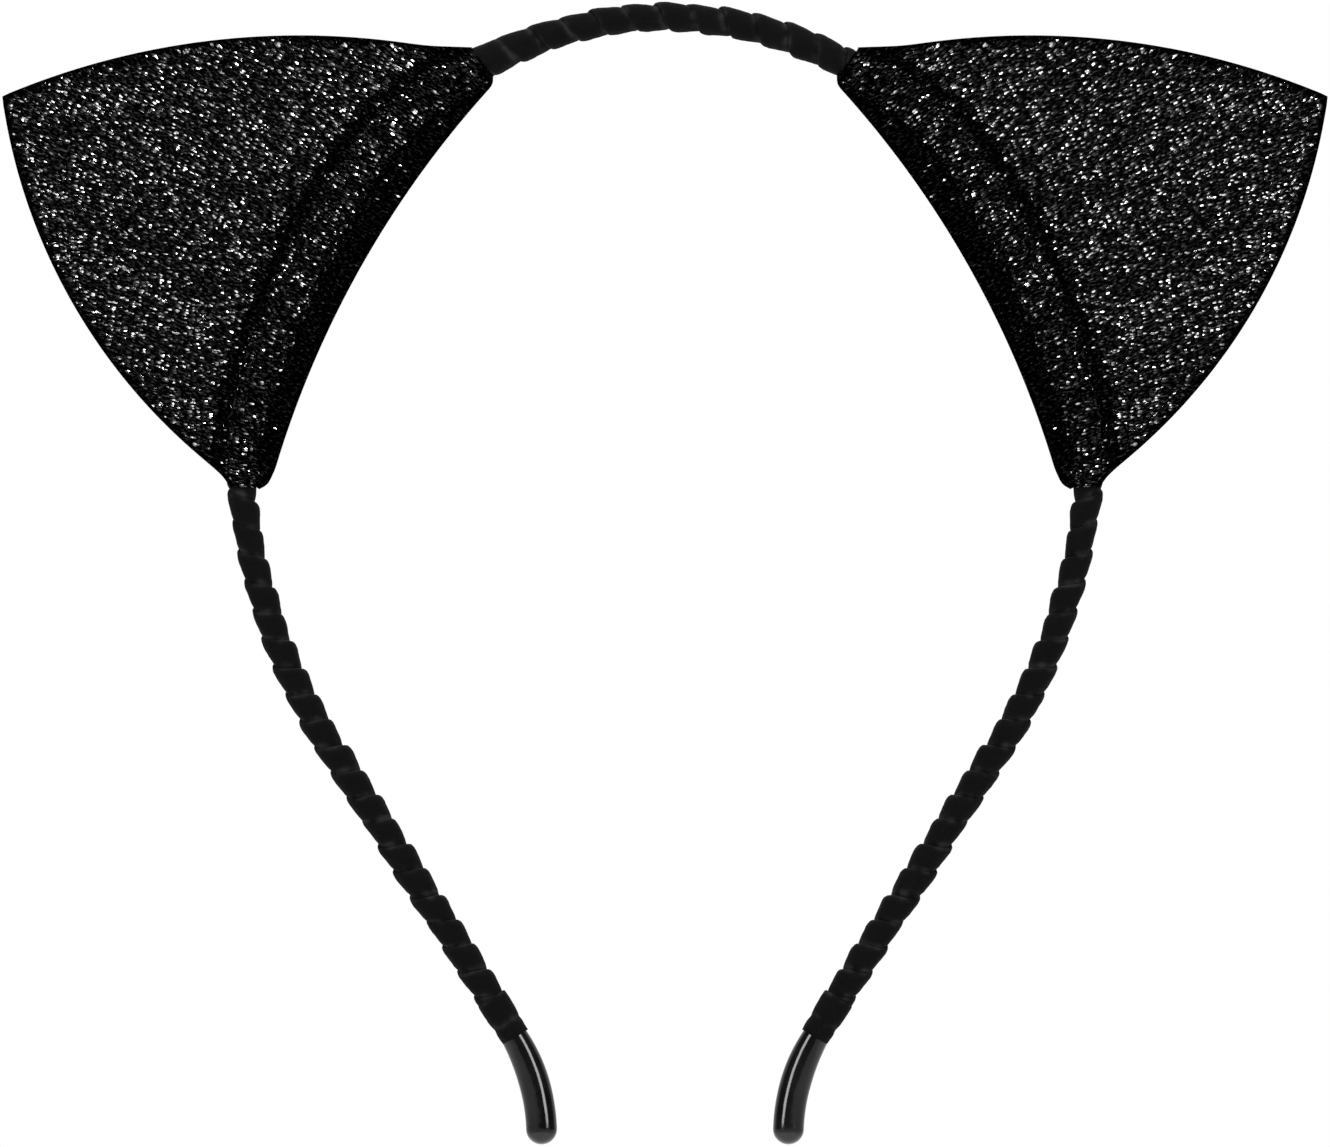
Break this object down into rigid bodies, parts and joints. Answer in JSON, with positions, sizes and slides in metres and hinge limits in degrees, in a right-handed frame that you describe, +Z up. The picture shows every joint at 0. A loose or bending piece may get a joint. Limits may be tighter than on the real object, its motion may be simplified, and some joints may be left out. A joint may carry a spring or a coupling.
{
  "type": "animal ears headband",
  "caption": "Sprung wire headband wrapped in velvet ribbon, with glossy tip caps and two wired, glitter-fabric cat ears folded over the band.",
  "frame": {"origin": "underside of the band at the top of the head, in the middle", "axes": "+Z up when worn, -Y to the front, +X across the head; the side named left is at -X"},
  "size_m": [0.185, 0.0052, 0.1598],
  "materials": {
    "velvet_ribbon": "matte velvet pile, wound in overlapping turns",
    "glitter_fabric": "pebbly black cloth covered in small silver glitter flakes",
    "spring_steel": "bright drawn spring wire",
    "cap_plastic": "smooth glossy dipped plastic",
    "ear_wire": "soft bare wire",
    "interlining": "thin stiff felt"
  },
  "bodies": {
    "crown": {"crown_core": "spring_steel", "crown_ribbon": "velvet_ribbon"},
    "side_left": {"core_left": "spring_steel", "ribbon_left": "velvet_ribbon", "tip_cap_left": "cap_plastic", "ear_sleeve_left": "glitter_fabric", "ear_wire_feet_left": "ear_wire"},
    "ear_left": {"ear_front_left": "glitter_fabric", "ear_back_left": "glitter_fabric", "ear_interlining_left": "interlining", "ear_wire_left": "ear_wire"},
    "side_right": {"core_right": "spring_steel", "ribbon_right": "velvet_ribbon", "tip_cap_right": "cap_plastic", "ear_sleeve_right": "glitter_fabric", "ear_wire_feet_right": "ear_wire"},
    "ear_right": {"ear_front_right": "glitter_fabric", "ear_back_right": "glitter_fabric", "ear_interlining_right": "interlining", "ear_wire_right": "ear_wire"}
  },
  "joints": [
    {"name": "left_flex", "type": "hinge", "parent": "crown", "child": "side_left", "pos_m": [-0.01431, 0, -0.00001], "axis": [0, 1, 0], "range_deg": [-5, 18], "stiffness_Nm_per_rad": 1.3},
    {"name": "right_flex", "type": "hinge", "parent": "crown", "child": "side_right", "pos_m": [0.01431, 0, -0.00001], "axis": [0, -1, 0], "range_deg": [-5, 18], "stiffness_Nm_per_rad": 1.3},
    {"name": "left_ear_fold", "type": "hinge", "parent": "side_left", "child": "ear_left", "pos_m": [-0.05303, 0, -0.0259], "axis": [0.5239, 0, 0.8518], "range_deg": [-45, 45]},
    {"name": "right_ear_fold", "type": "hinge", "parent": "side_right", "child": "ear_right", "pos_m": [0.05303, 0, -0.0259], "axis": [0.5239, 0, -0.8518], "range_deg": [-45, 45]}
  ]
}
